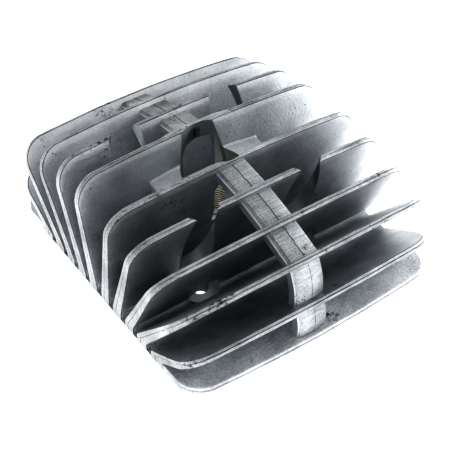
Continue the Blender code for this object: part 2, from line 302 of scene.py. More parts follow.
# %% Helper: a cast metal made from the three groups
def metal(name, values, skin_values, bump, relief_strength):
    """values go to the worn alloy group, skin_values to the two masks; bump is in millimetres."""
    material = bpy.data.materials.new(name)
    material.use_nodes = True
    tree = material.node_tree
    shader = tree.nodes["Principled BSDF"]
    shader.inputs["Metallic"].default_value = 1.0
    skin = add_node(tree, "ShaderNodeGroup", (-1100, 200), node_tree=cast_skin)
    marks = add_node(tree, "ShaderNodeGroup", (-1100, -200), node_tree=handling)
    worn = add_node(tree, "ShaderNodeGroup", (-700, 0), node_tree=worn_alloy)
    grain_per_metre, pit_amount, smudge_amount = skin_values
    set_inputs(skin, {"Grain per metre": grain_per_metre, "Pit amount": pit_amount})
    set_inputs(marks, {"Smudge amount": smudge_amount})
    set_inputs(worn, values)
    for mask in ("Grain", "Cloud", "Pits"):
        tree.links.new(skin.outputs[mask], worn.inputs[mask])
    for mask in ("Smudge", "Scratch"):
        tree.links.new(marks.outputs[mask], worn.inputs[mask])
    relief = add_node(tree, "ShaderNodeBump", (-300, -300))
    set_inputs(relief, {"Strength": relief_strength, "Distance": bump * MM})
    tree.links.new(worn.outputs["Colour"], shader.inputs["Base Color"])
    tree.links.new(worn.outputs["Roughness"], shader.inputs["Roughness"])
    tree.links.new(worn.outputs["Height"], relief.inputs["Height"])
    tree.links.new(relief.outputs["Normal"], shader.inputs["Normal"])
    return material


print("cast finishes share", worn_alloy.name)

# %% [markdown]
# The fin faces keep the smooth skin of a good mould. The outermost fins came out of coarser sand: a
# stronger grain, and duller. Their light grey is paler than that of the other fins, which is painted
# light on the outermost fins.

# %% Cast skin and coarse sand-cast skin
cast_metal = metal(
    "Cast alloy skin",
    {
        "Dark": (0.425, 0.44, 0.46, 1.0),
        "Light": (0.64, 0.66, 0.68, 1.0),
        "Dirt": (0.12, 0.12, 0.125, 1.0),
        "Speckle": 1.1,
        "Streak": 0.5,
        "Smoothest": 0.39,
        "Roughest": 0.53,
        "Scratch depth": 0.3,
    },
    skin_values=(950.0, 0.35, 0.5),
    bump=0.35,
    relief_strength=0.6,
)
# The paler light grey paints light on the outermost fins; the coarse grain is the skin's own.
sand_metal_painted_light = metal(
    "Coarse sand-cast skin with painted light",
    {
        "Dark": (0.44, 0.455, 0.47, 1.0),
        "Light": (0.80, 0.82, 0.84, 1.0),
        "Dirt": (0.08, 0.08, 0.085, 1.0),
        "Speckle": 2.0,
        "Streak": 0.4,
        "Smoothest": 0.48,
        "Roughest": 0.62,
        "Scratch depth": 0.2,
    },
    skin_values=(1050.0, 0.4, 0.6),
    bump=0.5,
    relief_strength=0.9,
)
print("materials:", cast_metal.name, "and", sand_metal_painted_light.name)

# %% [markdown]
# Rims and tie bars are what hands and rags touch. They are scratched along their length, and the greys
# lie further apart, so that the rub shows as streaks; both greys are also darker than those of the
# faces, which is painted shade on these tops. A near-black finish darkens the groove by a rim's
# parting line and the rim's rounded edges, as dirt and painted shade, and the same finish is painted
# shade in recesses and holes.

# %% Rubbed rims with painted shade, and the near-black finish of dirt and painted shade
# Both greys are darker than the faces' greys: painted shade on the tops; the streaks are rub wear.
rim_metal_painted_shade = metal(
    "Rubbed fin rims with painted shade",
    {
        "Dark": (0.25, 0.265, 0.275, 1.0),
        "Light": (0.53, 0.55, 0.565, 1.0),
        "Dirt": (0.03, 0.03, 0.03, 1.0),
        "Speckle": 1.8,
        "Streak": 1.7,
        "Smoothest": 0.32,
        "Roughest": 0.46,
        "Scratch depth": 1.6,
    },
    skin_values=(1300.0, 0.6, 0.8),
    bump=0.3,
    relief_strength=0.7,
)
# Near-black: dirt and painted shade in seams, recesses and holes.
dirt_and_painted_shade = metal(
    "Dirt and painted shade in seams and recesses",
    {
        "Dark": (0.02, 0.02, 0.022, 1.0),
        "Light": (0.16, 0.16, 0.165, 1.0),
        "Dirt": (0.02, 0.02, 0.02, 1.0),
        "Speckle": 2.0,
        "Streak": 1.0,
        "Smoothest": 0.45,
        "Roughest": 0.60,
        "Scratch depth": 0.6,
    },
    skin_values=(1500.0, 0.6, 0.8),
    bump=0.3,
    relief_strength=0.6,
)
print("materials:", rim_metal_painted_shade.name, "and", dirt_and_painted_shade.name)

# %% [markdown]
# A cutting tool leaves fine even ridges: one above the other on a bored wall, and round the axis
# on a faced joint. A wave texture gives both kinds. The group also makes the two slow changes
# that turned metal has, of tone and of gloss, from the clouds of the cast skin.

# %% Node group: tool marks
tool_marks, tool_in, tool_out = new_group(
    "Tool marks",
    {
        "Dark": GREY,
        "Light": GREY,
        "Cloud": 0.5,
        "Smoothest": 0.3,
        "Roughest": 0.5,
        "Mark scale": 1000.0,
    },
    ["Colour", "Roughness", "Bands", "Rings"],
)
turned_tone = add_node(tool_marks, "ShaderNodeMix", (300, 400), data_type="RGBA")
tool_marks.links.new(tool_in.outputs["Cloud"], turned_tone.inputs[0])
tool_marks.links.new(tool_in.outputs["Dark"], turned_tone.inputs[6])
tool_marks.links.new(tool_in.outputs["Light"], turned_tone.inputs[7])
turned_gloss = add_node(tool_marks, "ShaderNodeMapRange", (300, 100))
tool_marks.links.new(tool_in.outputs["Cloud"], turned_gloss.inputs["Value"])
tool_marks.links.new(tool_in.outputs["Smoothest"], turned_gloss.inputs["To Min"])
tool_marks.links.new(tool_in.outputs["Roughest"], turned_gloss.inputs["To Max"])
spot = add_node(tool_marks, "ShaderNodeTexCoord", (-700, -300))
on_axis = add_node(tool_marks, "ShaderNodeMapping", (-450, -300))
on_axis.inputs["Location"].default_value = (-PLUG_X * MM, 0.0, 0.0)
tool_marks.links.new(spot.outputs["Object"], on_axis.inputs["Vector"])
for kind in ("Bands", "Rings"):
    ridges = add_node(tool_marks, "ShaderNodeTexWave", (0, -300), wave_type=kind.upper())
    ridges.bands_direction = "Z"
    ridges.rings_direction = "Z"
    set_inputs(ridges, {"Distortion": 0.6})
    tool_marks.links.new(tool_in.outputs["Mark scale"], ridges.inputs["Scale"])
    tool_marks.links.new(on_axis.outputs["Vector"], ridges.inputs["Vector"])
    tool_marks.links.new(ridges.outputs["Fac"], tool_out.inputs[kind])
tool_marks.links.new(turned_tone.outputs[2], tool_out.inputs["Colour"])
tool_marks.links.new(turned_gloss.outputs["Result"], tool_out.inputs["Roughness"])
print("group:", tool_marks.name)

# %% [markdown]
# The machined finishes differ in colour, gloss and the distance between marks. The bored walls are a
# little green from old oil, the faced joint is plain aluminium, and the thread insert is bronze-toned,
# with a dark finish in its grooves that is painted shade.

# %% Machined finishes
WAVES_PER_SCALE = 0.314
MARK_DEPTH = 0.05
MARK_STRENGTH = 0.25


def machined(name, dark, light, rough, mark_pitch, marks_kind):
    """rough is (smoothest, roughest); mark_pitch is in mm; marks_kind is Bands or Rings."""
    material = bpy.data.materials.new(name)
    material.use_nodes = True
    tree = material.node_tree
    shader = tree.nodes["Principled BSDF"]
    shader.inputs["Metallic"].default_value = 1.0
    skin = add_node(tree, "ShaderNodeGroup", (-900, 200), node_tree=cast_skin)
    set_inputs(skin, {"Grain per metre": 900.0, "Pit amount": 0.1})
    marks = add_node(tree, "ShaderNodeGroup", (-600, 0), node_tree=tool_marks)
    set_inputs(marks, {"Dark": (*dark, 1.0), "Light": (*light, 1.0)})
    set_inputs(marks, {"Smoothest": rough[0], "Roughest": rough[1]})
    set_inputs(marks, {"Mark scale": WAVES_PER_SCALE / (mark_pitch * MM)})
    relief = add_node(tree, "ShaderNodeBump", (-300, -300))
    set_inputs(relief, {"Strength": MARK_STRENGTH, "Distance": MARK_DEPTH * MM})
    tree.links.new(skin.outputs["Cloud"], marks.inputs["Cloud"])
    tree.links.new(marks.outputs["Colour"], shader.inputs["Base Color"])
    tree.links.new(marks.outputs["Roughness"], shader.inputs["Roughness"])
    tree.links.new(marks.outputs[marks_kind], relief.inputs["Height"])
    tree.links.new(relief.outputs["Normal"], shader.inputs["Normal"])
    return material


bored_metal = machined(
    "Bored walls", (0.46, 0.505, 0.51), (0.60, 0.645, 0.645), (0.26, 0.40), 0.35, "Bands"
)
faced_metal = machined(
    "Faced joint", (0.46, 0.46, 0.46), (0.58, 0.58, 0.575), (0.26, 0.38), 0.5, "Rings"
)
insert_metal = machined(
    "Thread insert bronze", (0.44, 0.41, 0.36), (0.60, 0.56, 0.49), (0.3, 0.45), 0.3, "Bands"
)
groove_painted_shade = machined(
    "Thread groove painted shade", (0.07, 0.06, 0.045), (0.13, 0.11, 0.085), (0.4, 0.55), 0.3, "Bands"
)
for finish in (bored_metal, faced_metal, insert_metal, groove_painted_shade):
    print("machined finish:", finish.name)

# %% [markdown]
# Every cast piece carries the same five finishes in the same order, and each face says which one
# it wears. That is how one mesh can have smooth sides, rubbed rims and dark seams.

# %% The five finishes of a cast piece
CAST, BORED, RIM, DIRT_AND_SHADE, SAND = 0, 1, 2, 3, 4
FINISHES = [cast_metal, bored_metal, rim_metal_painted_shade, dirt_and_painted_shade, sand_metal_painted_light]
print("finish order on a cast piece:", [finish.name for finish in FINISHES])

# %% [markdown]
# Meshes are written in bmesh, because a casting is mostly lofted rows of points that code can
# place exactly. The first helper scales such a mesh and puts it in the scene. The second welds
# the points that meet, then makes the faces smooth except where they meet at a crisp edge.


# %% Helpers: put a mesh in the scene and mark its crisp edges
WELD = 0.004 * MM


def to_object(name, bm):
    bmesh.ops.scale(bm, vec=Vector((MM, MM, MM)), verts=bm.verts)
    bmesh.ops.recalc_face_normals(bm, faces=bm.faces)
    mesh = bpy.data.meshes.new(name)
    bm.to_mesh(mesh)
    bm.free()
    thing = bpy.data.objects.new(name, mesh)
    bpy.context.scene.collection.objects.link(thing)
    return thing


def soften(mesh, crisp_degrees):
    bm = bmesh.new()
    bm.from_mesh(mesh)
    bmesh.ops.remove_doubles(bm, verts=bm.verts, dist=WELD)
    bmesh.ops.dissolve_degenerate(bm, edges=bm.edges, dist=WELD)
    limit = math.radians(crisp_degrees)
    for face in bm.faces:
        face.smooth = True
    for edge in bm.edges:
        edge.smooth = edge.is_manifold and edge.calc_face_angle(0.0) < limit
    bm.to_mesh(mesh)
    bm.free()


print("meshes are welded within", WELD / MM, "mm")

# %% [markdown]
# Drilling and boring are Boolean differences. All the tools that cut one piece are joined and cut
# it in a single exact step, because cut after cut can leave slivers behind. The new faces keep the
# finish of the tool, so a bored wall looks bored and the cast skin around it stays cast.


# %% Helpers: cut a piece, and finish it
def join_cutters(cutters):
    bm = bmesh.new()
    for cutter in cutters:
        bm.from_mesh(cutter.data)
    mesh = bpy.data.meshes.new("cutter_joined")
    bm.to_mesh(mesh)
    bm.free()
    for finish in FINISHES:
        mesh.materials.append(finish)
    joined = bpy.data.objects.new("cutter_joined", mesh)
    bpy.context.scene.collection.objects.link(joined)
    return joined


def cut_piece(thing, cutters):
    joined = join_cutters(cutters)
    step = thing.modifiers.new("cut", "BOOLEAN")
    step.operation = "DIFFERENCE"
    step.solver = "EXACT"
    step.material_mode = "INDEX"
    step.object = joined
    graph = bpy.context.evaluated_depsgraph_get()
    baked = bpy.data.meshes.new_from_object(thing.evaluated_get(graph))
    thing.modifiers.clear()
    thing.data = baked
    bpy.data.objects.remove(joined, do_unlink=True)


def finish_piece(thing, node, finishes, cutters=(), crisp_degrees=28):
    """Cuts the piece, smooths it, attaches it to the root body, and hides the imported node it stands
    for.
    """
    for finish in finishes:
        thing.data.materials.append(finish)
    if cutters:
        cut_piece(thing, cutters)
    soften(thing.data, crisp_degrees)
    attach(thing, "root")
    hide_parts(node)
    return thing


print("cutting and finishing helpers ready")

# %% [markdown]
# Most machined shapes are turned, so one function makes them all: it spins a closed profile of
# radius and height round a vertical axis, which gives a ring.


# %% Helper: turned rings
def turned_ring(name, profile, centre, segments=96, finish_of=None):
    """finish_of maps the number of a profile segment to the number of its finish."""
    bm = bmesh.new()
    rings = []
    for step in range(segments):
        angle = 2 * math.pi * step / segments
        x = math.cos(angle)
        y = math.sin(angle)
        ring = [bm.verts.new((centre[0] + r * x, centre[1] + r * y, z)) for r, z in profile]
        rings.append(ring)
    count = len(profile)
    for step in range(segments):
        near = rings[step]
        far = rings[(step + 1) % segments]
        for index in range(count):
            after = (index + 1) % count
            face = bm.faces.new((near[index], near[after], far[after], far[index]))
            if finish_of:
                face.material_index = finish_of.get(index, 0)
    return to_object(name, bm)


print("turning helper ready")

# %% [markdown]
# A cutter is the tool as a solid: a stack of discs for a drill or a boring bar, closed with flat
# ends. It is hidden, because only the hole that it leaves is part of the head.


# %% Helper: turned cutters
def hide_cutter(cutter):
    cutter.hide_render = True
    cutter.display_type = "WIRE"
    for finish in FINISHES:
        cutter.data.materials.append(finish)
    return cutter


def turned_cutter(name, profile, centre, segments=96):
    bm = bmesh.new()
    rings = []
    for radius, z in profile:
        ring = []
        for step in range(segments):
            angle = 2 * math.pi * (step + 0.5) / segments
            x = centre[0] + radius * math.cos(angle)
            y = centre[1] + radius * math.sin(angle)
            ring.append(bm.verts.new((x, y, z)))
        rings.append(ring)
    for low_ring, high_ring in zip(rings, rings[1:]):
        for step in range(segments):
            after = (step + 1) % segments
            corners = (low_ring[step], low_ring[after], high_ring[after], high_ring[step])
            bm.faces.new(corners)
    bm.faces.new(list(reversed(rings[0])))
    bm.faces.new(rings[-1])
    for face in bm.faces:
        face.material_index = BORED
    return hide_cutter(to_object(name, bm))


print("cutter helper ready")

# %% [markdown]
# Five tools run through the casting. Four give a socket room round the cylinder nuts. The fifth
# opens the plug well from above, and below the plug seat it widens to leave room for the chamber.

# %% The stud and plug well cutters
BELOW = -3.0
ABOVE = 90.0
PLUG_CENTRE = (PLUG_X, 0.0)
CORE_WALL = [
    (22.0, BELOW),
    (22.0, 4.2),
    (20.2, 8.0),
    (16.3, 12.0),
    (12.3, 15.0),
    (9.8, 16.2),
    (9.8, PLUG_SEAT_Z),
    (WELL_RADIUS, PLUG_SEAT_Z),
    (WELL_RADIUS, ABOVE),
]
stud_cutters = {}
for place, centre in STUDS.items():
    wall = [(NUT_RADIUS, BELOW), (NUT_RADIUS, ABOVE)]
    stud_cutters[place] = turned_cutter("cutter_stud_" + place, wall, centre)
well_cutter = turned_cutter("cutter_plug_well", CORE_WALL, PLUG_CENTRE, 128)
print("round cutters:", len(stud_cutters) + 1)

# %% [markdown]
# The well alone would leave a skin of metal on the middle fins, so each is opened by a window
# with sloping upper corners. Its cutter is a block: an outline in X and Z, drawn out along Y.


# %% The window cutters
def block_cutter(name, outline, y_low, y_high):
    """A block across Y whose outline is given as (x, z)."""
    bm = bmesh.new()
    ends = [[bm.verts.new((x, y, z)) for x, z in outline] for y in (y_low, y_high)]
    for index in range(len(outline)):
        after = (index + 1) % len(outline)
        bm.faces.new((ends[0][index], ends[0][after], ends[1][after], ends[1][index]))
    bm.faces.new(list(reversed(ends[0])))
    bm.faces.new(ends[1])
    for face in bm.faces:
        face.material_index = BORED
    return hide_cutter(to_object(name, bm))


WINDOW = [(-11.2, 27.0), (6.0, 27.0), (6.0, 48.2), (-2.0, 48.0), (-7.5, 47.0), (-11.2, 43.0)]
WINDOW_NEAR = 11.6
WINDOW_FAR = 18.0
window_cutters = {
    1: block_cutter("cutter_window_rear", WINDOW, WINDOW_NEAR, WINDOW_FAR),
    -1: block_cutter("cutter_window_front", WINDOW, -WINDOW_FAR, -WINDOW_NEAR),
}
print("window cutters:", len(window_cutters))

# %% [markdown]
# A fin is a tapered slab that leans outward. Its shape is described in its own plane: x along
# the fin, height up the fin, and an offset across it. Then all twelve fins are the same drawing
# with other numbers: y of the foot, y and z of the tip, and the thickness at foot and rim.


# %% The plane of each fin
FINS = {
    1: (48.4, 70.3, 3.1, 7.6, 2.8),
    2: (39.6, 68.7, 19.4, 5.4, 2.8),
    3: (30.8, 63.4, 39.2, 6.0, 2.8),
    4: (22.0, 47.3, 45.6, 5.8, 2.8),
    5: (13.2, 30.4, 50.5, 6.4, 2.8),
    6: (4.4, 13.0, 53.1, 6.4, 2.8),
}
OUTER_FIN_START = 50.2


class FinPlane:
    def __init__(self, number):
        self.number = number
        self.foot_y, tip_y, tip_z, self.root, self.rim = FINS[number]
        self.height = math.hypot(tip_y - self.foot_y, tip_z)
        self.rise = ((tip_y - self.foot_y) / self.height, tip_z / self.height)
        self.out = (self.rise[1], -self.rise[0])
        self.crown_height = self.height + RIM_CROWN

    def thickness(self, height):
        return self.root + (self.rim - self.root) * height / self.crown_height

    def point(self, height, offset):
        y = self.foot_y + self.rise[0] * height + self.out[0] * offset
        z = self.rise[1] * height + self.out[1] * offset
        return y, z

    def rim_height(self, x):
        return self.height + RIM_CROWN * (1 - (x / HALF) ** 2)

    def start_height(self, face):
        """Where a face leaves the deck; the outermost fin leaves it sideways."""
        low_h, high_h = -6.0, 20.0
        for _ in range(40):
            middle = (low_h + high_h) / 2
            y, z = self.point(middle, face * self.thickness(middle) / 2)
            reached = y > OUTER_FIN_START if self.number == 1 else z > DECK_TOP
            if reached:
                high_h = middle
            else:
                low_h = middle
        return high_h


for number in FINS:
    plane = FinPlane(number)
    lean = math.degrees(math.atan2(plane.rise[0], plane.rise[1]))
    print("fin", number, "leans", round(lean, 1), "degrees, height", round(plane.height, 1), "mm")

# %% [markdown]
# Seen from the side, a fin has straight ends, rounded upper corners and a rim that is a shallow
# arc. Its outline is a list of columns, closer together round the corners, and each has the
# direction that points away from the fin there, which the broken edges need.


# %% The outline of a fin
CORNER_STEPS = 9
RIM_STEPS = 26


def fin_columns(plane):
    """(x, height, outward x, outward height) from the left end to the right end."""
    arc_x = HALF - CORNER_RADIUS
    arc_height = plane.rim_height(arc_x) - CORNER_RADIUS
    right = []
    for step in range(CORNER_STEPS + 1):
        angle = math.radians(90 * step / CORNER_STEPS)
        away = (math.cos(angle), math.sin(angle))
        x = arc_x + CORNER_RADIUS * away[0]
        right.append((x, arc_height + CORNER_RADIUS * away[1], *away))
    middle = []
    for step in range(1, RIM_STEPS):
        x = arc_x * (1 - 2 * step / RIM_STEPS)
        slope = -2 * RIM_CROWN * x / HALF**2
        size = math.hypot(1.0, slope)
        middle.append((x, plane.rim_height(x), -slope / size, 1.0 / size))
    left = [(-x, height, -dx, dh) for x, height, dx, dh in reversed(right)]
    return list(reversed(right + middle + left))


print("columns along a fin:", len(fin_columns(FinPlane(6))))

# %% [markdown]
# A cast face is never flat: it waves by a tenth or two of a millimetre, and the metal flares into
# the deck with a small fillet and a step. The rear middle fin has a thicker backing behind the
# plug well, so that the bore leaves a wall there. The rows of points up a fin lie close together
# where it bends, at the foot and near the rim, and further apart between.


# %% Sizes of a fin's faces
EDGE = 0.45
FACE_WAVE = 0.16
RIM_WAVE = 0.12
LOWEST = 0.25
FILLET = 0.8
STEP = 0.3
STEP_TOP = 1.5
FLARE_END = 61.6
FLARE_FADE = 2.5
BACKING = 1.5
BACKING_HALF_WIDTH = 11.0
BACKING_FADE = 5.0
BACKING_START = 18.0
BACKING_RISE = 6.0
FOOT_ROWS = [0.0, 0.1, 0.3, 0.55, 0.8, 1.45, 1.6, 2.6]
UPPER_ROWS = [0.0, 0.12, 0.27, 0.43, 0.6, 0.78, 0.92, 1.0]
FIN_ROWS = len(FOOT_ROWS) + len(UPPER_ROWS) - 1
TOP_ROW = FIN_ROWS - 1


def clamp(value):
    return min(1.0, max(0.0, value))


print("rows up a fin:", FIN_ROWS)

# %% [markdown]
# This class says where each point of a fin goes. A face is -1 on the side of the plug and 1 on the
# outer side, and the front half of the head mirrors the rear half through the sign of side. The
# wave is a noise with its own seed for each fin, so it is the same at every run.


# %% The two faces of a fin
class FinFaces:
    def __init__(self, number, side):
        self.plane = FinPlane(number)
        self.side = side
        self.outermost = number == 1
        self.backed = number == 6 and side > 0
        self.columns = fin_columns(self.plane)
        self.seed = number * 7.3 + side * 31.7

    def place(self, x, height, offset, flare=0.0, lift=0.0):
        y, z = self.plane.point(height, offset)
        return x, self.side * (y + flare), max(z + lift, LOWEST)

    def wave(self, x, height, face):
        spot = Vector((x * 0.05, height * 0.05, self.seed + face * 5.0))
        return FACE_WAVE * noise.noise(spot)

    def backing(self, x, height, face):
        if not self.backed or face < 0:
            return 0.0
        near = 1.0 - max(0.0, abs(x - PLUG_X) - BACKING_HALF_WIDTH) / BACKING_FADE
        above = (height - BACKING_START) / BACKING_RISE
        return BACKING * clamp(near) * clamp(above)

    def foot_flare(self, x, above):
        if self.outermost:
            return 0.0
        gap = max(0.0, 1.0 - above / FILLET)
        flare = FILLET * (1 - math.sqrt(1 - gap * gap))
        flare += STEP if above < STEP_TOP else 0.0
        return flare * clamp((FLARE_END - abs(x)) / FLARE_FADE)

    def point(self, face, column, row, outward, inward):
        """A point near a face: outward in the fin's plane, inward across its thickness."""
        x, top, away_x, away_height = self.columns[column]
        top += RIM_WAVE * noise.noise(Vector((x * 0.09, self.seed, 0.0)))
        start = self.plane.start_height(face)
        steepness = max(self.plane.rise[1], 0.5)
        push = outward - EDGE
        flare = 0.0
        if row < len(FOOT_ROWS):
            height = start + FOOT_ROWS[row] / steepness
            flare = self.foot_flare(x, FOOT_ROWS[row])
        else:
            share = UPPER_ROWS[row - len(FOOT_ROWS) + 1]
            low_height = start + FOOT_ROWS[-1] / steepness
            height = low_height + (top - low_height) * share
        if row == TOP_ROW:
            height += away_height * push
        offset = self.plane.thickness(height) / 2 - inward + self.backing(x, height, face)
        if row != TOP_ROW:
            offset += self.wave(x, height, face)
        return x + away_x * push, height, face * offset, face * flare


print("top of the middle fins:", round(FinFaces(6, 1).place(0.0, FinPlane(6).height, 0.0)[2], 1), "mm")

# %% [markdown]
# Where the two halves of the mould met, a thin ridge runs round every fin. The strip across the
# fin's edge has a small rounded corner, a flat facet, a groove, the ridge, and the same again, so
# the parting line and the broken edges are real geometry and catch the light.


# %% The strip across a fin's edge
RIDGE = 0.4
GROOVE = 0.10
RIDGE_WANDER = 0.07
RIDGE_SECTION = ((-0.13, GROOVE), (-0.07, -GROOVE), (0.0, RIDGE), (0.10, 0.02))
# Strips 0 and 8 (the rounded edges beside the rim) and 3 (the groove by the parting line) take the
# near-black finish of dirt and painted shade.
SEAM_STRIPS = {0: DIRT_AND_SHADE, 3: DIRT_AND_SHADE, 8: DIRT_AND_SHADE}
OUTERMOST_SEAM_STRIPS = {3: DIRT_AND_SHADE}


def edge_strip(bm, faces, grid, column, row):
    """The points across the fin's edge, from the inner face to the outer one."""
    inner, outer = grid[-1, column, row], grid[1, column, row]
    low_row = max(row, 0)
    drop = inner.co.z - grid[-1, column, low_row].co.z
    sides = {}
    for face in (-1, 1):
        for reach, outward, inward in (("near", EDGE * 0.7, EDGE * 0.3), ("far", EDGE, EDGE)):
            spot = faces.point(face, column, low_row, outward, inward)
            sides[face, reach] = bm.verts.new(faces.place(*spot, lift=drop))
    away_x, away_height = faces.columns[column][2:]
    on_rim = max(0.0, away_height) ** 2 if row == TOP_ROW else 0.0
    low_side, high_side = sides[-1, "far"].co.copy(), sides[1, "far"].co.copy()
    seam = 0.5 + RIDGE_WANDER * noise.noise(Vector((column * 0.45, faces.seed, 2.0)))
    strip = [inner, sides[-1, "near"], sides[-1, "far"]]
    for shift, lift in RIDGE_SECTION:
        spot = low_side.lerp(high_side, seam + shift)
        spot.x += away_x * lift * on_rim
        spot.y += faces.side * faces.plane.rise[0] * away_height * lift * on_rim
        spot.z += faces.plane.rise[1] * away_height * lift * on_rim
        strip.append(bm.verts.new(spot))
    return strip + [sides[1, "far"], sides[1, "near"], outer]


print("the parting line stands", RIDGE, "mm above the rim")

# %% [markdown]
# A fin's points are a grid on each face. Below the grid comes one more row: the foot, which
# reaches into the deck so that no gap shows, and down to the joint face at the two ends. The
# outermost fin leaves the deck sideways, so its foot reaches inward instead.


# %% The grid of one fin
FOOT_DEPTH = 0.9
FOOT_REACH = 0.6
FOOT_END = 57.5


def fin_grid(bm, faces):
    """Points by (face, column, row); row -1 is the foot inside the deck."""
    grid = {}
    for face in (-1, 1):
        for column in range(len(faces.columns)):
            for row in range(FIN_ROWS):
                spot = faces.place(*faces.point(face, column, row, 0.0, 0.0))
                grid[face, column, row] = bm.verts.new(spot)
            foot = grid[face, column, 0].co
            deep = LOWEST if abs(foot.x) > FOOT_END else min(DECK_TOP, foot.z) - FOOT_DEPTH
            inset = 0.0
            if faces.outermost:
                deep = foot.z
                inset = FOOT_REACH * faces.side
            grid[face, column, -1] = bm.verts.new((foot.x, foot.y - inset, deep))
    return grid


print("a foot reaches", FOOT_DEPTH, "mm into the deck")

# %% [markdown]
# Now the fin itself: the two grids become faces, and a band of strips that runs up one end, over
# the rim and down the other joins them into one closed body. Each strip of the band has its own
# finish: rubbed rim, or dirt along a seam.


# %% Build one fin
def build_fin(name, number, side):
    faces = FinFaces(number, side)
    skin, rim_skin = (SAND, SAND) if faces.outermost else (CAST, RIM)
    seams = OUTERMOST_SEAM_STRIPS if faces.outermost else SEAM_STRIPS
    bm = bmesh.new()
    grid = fin_grid(bm, faces)
    last = len(faces.columns) - 1
    for face in (-1, 1):
        for column in range(last):
            for row in range(-1, TOP_ROW):
                corners = [grid[face, column, row], grid[face, column + 1, row]]
                corners += [grid[face, column + 1, row + 1], grid[face, column, row + 1]]
                bm.faces.new(corners).material_index = skin
    path = [(0, row) for row in range(-1, FIN_ROWS)]
    path += [(column, TOP_ROW) for column in range(1, last)]
    path += [(last, row) for row in range(TOP_ROW, -2, -1)]
    strips = [edge_strip(bm, faces, grid, column, row) for column, row in path]
    for first, second in zip(strips, strips[1:]):
        for index in range(len(first) - 1):
            corners = (first[index], first[index + 1], second[index + 1], second[index])
            bm.faces.new(corners).material_index = seams.get(index, rim_skin)
    for column in range(last):
        corners = [grid[-1, column, -1], grid[-1, column + 1, -1]]
        corners += [grid[1, column + 1, -1], grid[1, column, -1]]
        bm.faces.new(corners)
    for strip in (strips[0], strips[-1]):
        bm.faces.new(strip)
    return to_object(name, bm)


print("fin builder ready")

# %% [markdown]
# Each fin is cut by what passes through it: the nut clearances through the third to the fifth,
# the plug well through the fourth to the sixth, and the windows through the two middle ones.

# %% The twelve fins
for side_name, side in (("rear", 1), ("front", -1)):
    near_studs = [place for place in STUDS if place.startswith(side_name)]
    for number in FINS:
        node = "fin_" + side_name + "_" + str(number)
        fin = build_fin("cast_" + node, number, side)
        cutters = []
        if number in (3, 4, 5):
            cutters += [stud_cutters[place] for place in near_studs]
        if number in (4, 5, 6):
            cutters.append(well_cutter)
        if number == 6:
            cut_piece(fin, [window_cutters[side]])
        finish_piece(fin, node, FINISHES, cutters)
        print(fin.name, len(fin.data.polygons), "faces")

# %% [markdown]
# The deck is the thin floor that the fins stand on. Between the feet it shows as narrow strips,
# and at the two ends it sits slightly back from the feet, above a small lip. Its top is a grid
# and not one face, because a cast floor waves a little.


# %% The layers of the deck
DECK_COLUMNS = 50
DECK_ROWS = 40
DECK_WAVE = 0.12
DECK_SIDES = [
    (60.9, DECK_HALF_WIDTH, DECK_TOP),
    (60.9, DECK_HALF_WIDTH, 0.95),
    (61.9, 51.6, 0.75),
    (61.9, 51.6, LOWEST),
]


def deck_layer(bm, half_x, half_y, z, waviness):
    rows = []
    for i in range(DECK_COLUMNS + 1):
        row = []
        for j in range(DECK_ROWS + 1):
            x = half_x * (2 * i / DECK_COLUMNS - 1)
            y = half_y * (2 * j / DECK_ROWS - 1)
            lift = waviness * noise.noise(Vector((x * 0.08, y * 0.2, 3.0)))
            row.append(bm.verts.new((x, y, z + lift)))
        rows.append(row)
    for i in range(DECK_COLUMNS):
        for j in range(DECK_ROWS):
            corners = (rows[i][j], rows[i + 1][j], rows[i + 1][j + 1], rows[i][j + 1])
            bm.faces.new(corners).material_index = CAST
    return rows


def layer_outline(rows):
    loop = [rows[i][0] for i in range(DECK_COLUMNS)]
    loop += [rows[DECK_COLUMNS][j] for j in range(DECK_ROWS)]
    loop += [rows[i][DECK_ROWS] for i in range(DECK_COLUMNS, 0, -1)]
    loop += [rows[0][j] for j in range(DECK_ROWS, 0, -1)]
    return loop


print("points on the deck's top:", (DECK_COLUMNS + 1) * (DECK_ROWS + 1))

# %% [markdown]
# The deck is the top layer and the bottom layer, joined by loops of points that go down the recessed
# side, out to the lip, and down again. The recessed side takes the near-black finish, which is painted
# shade in the recess.


# %% Build the deck
def build_deck():
    bm = bmesh.new()
    top = deck_layer(bm, *DECK_SIDES[0], DECK_WAVE)
    bottom = deck_layer(bm, *DECK_SIDES[-1], 0.0)
    loops = [layer_outline(top)]
    for half_x, half_y, z in DECK_SIDES[1:-1]:
        scale_x = half_x / DECK_SIDES[0][0]
        scale_y = half_y / DECK_SIDES[0][1]
        loop = [(v.co.x * scale_x, v.co.y * scale_y, z) for v in loops[0]]
        loops.append([bm.verts.new(spot) for spot in loop])
    loops.append(layer_outline(bottom))
    for number, (upper, lower) in enumerate(zip(loops, loops[1:])):
        for index in range(len(upper)):
            after = (index + 1) % len(upper)
            corners = (upper[index], upper[after], lower[after], lower[index])
            # The first band, the recessed side, gets painted shade; the lip below keeps the rim
            # finish.
            bm.faces.new(corners).material_index = DIRT_AND_SHADE if number == 0 else RIM
    return to_object("cast_deck", bm)


deck = build_deck()
deck_cuts = [well_cutter] + list(stud_cutters.values())
finish_piece(deck, "deck_plate", FINISHES, deck_cuts)
print("deck:", len(deck.data.polygons), "faces")

# %% [markdown]
# Each cylinder nut bears on a seat at the bottom of its clearance: a faced ring round the stud hole.
# It is a turned ring with a small chamfer at every mouth, as a real one has, so that no edge is a
# knife. The wall of the hole takes the near-black finish, which is painted shade inside the hole.

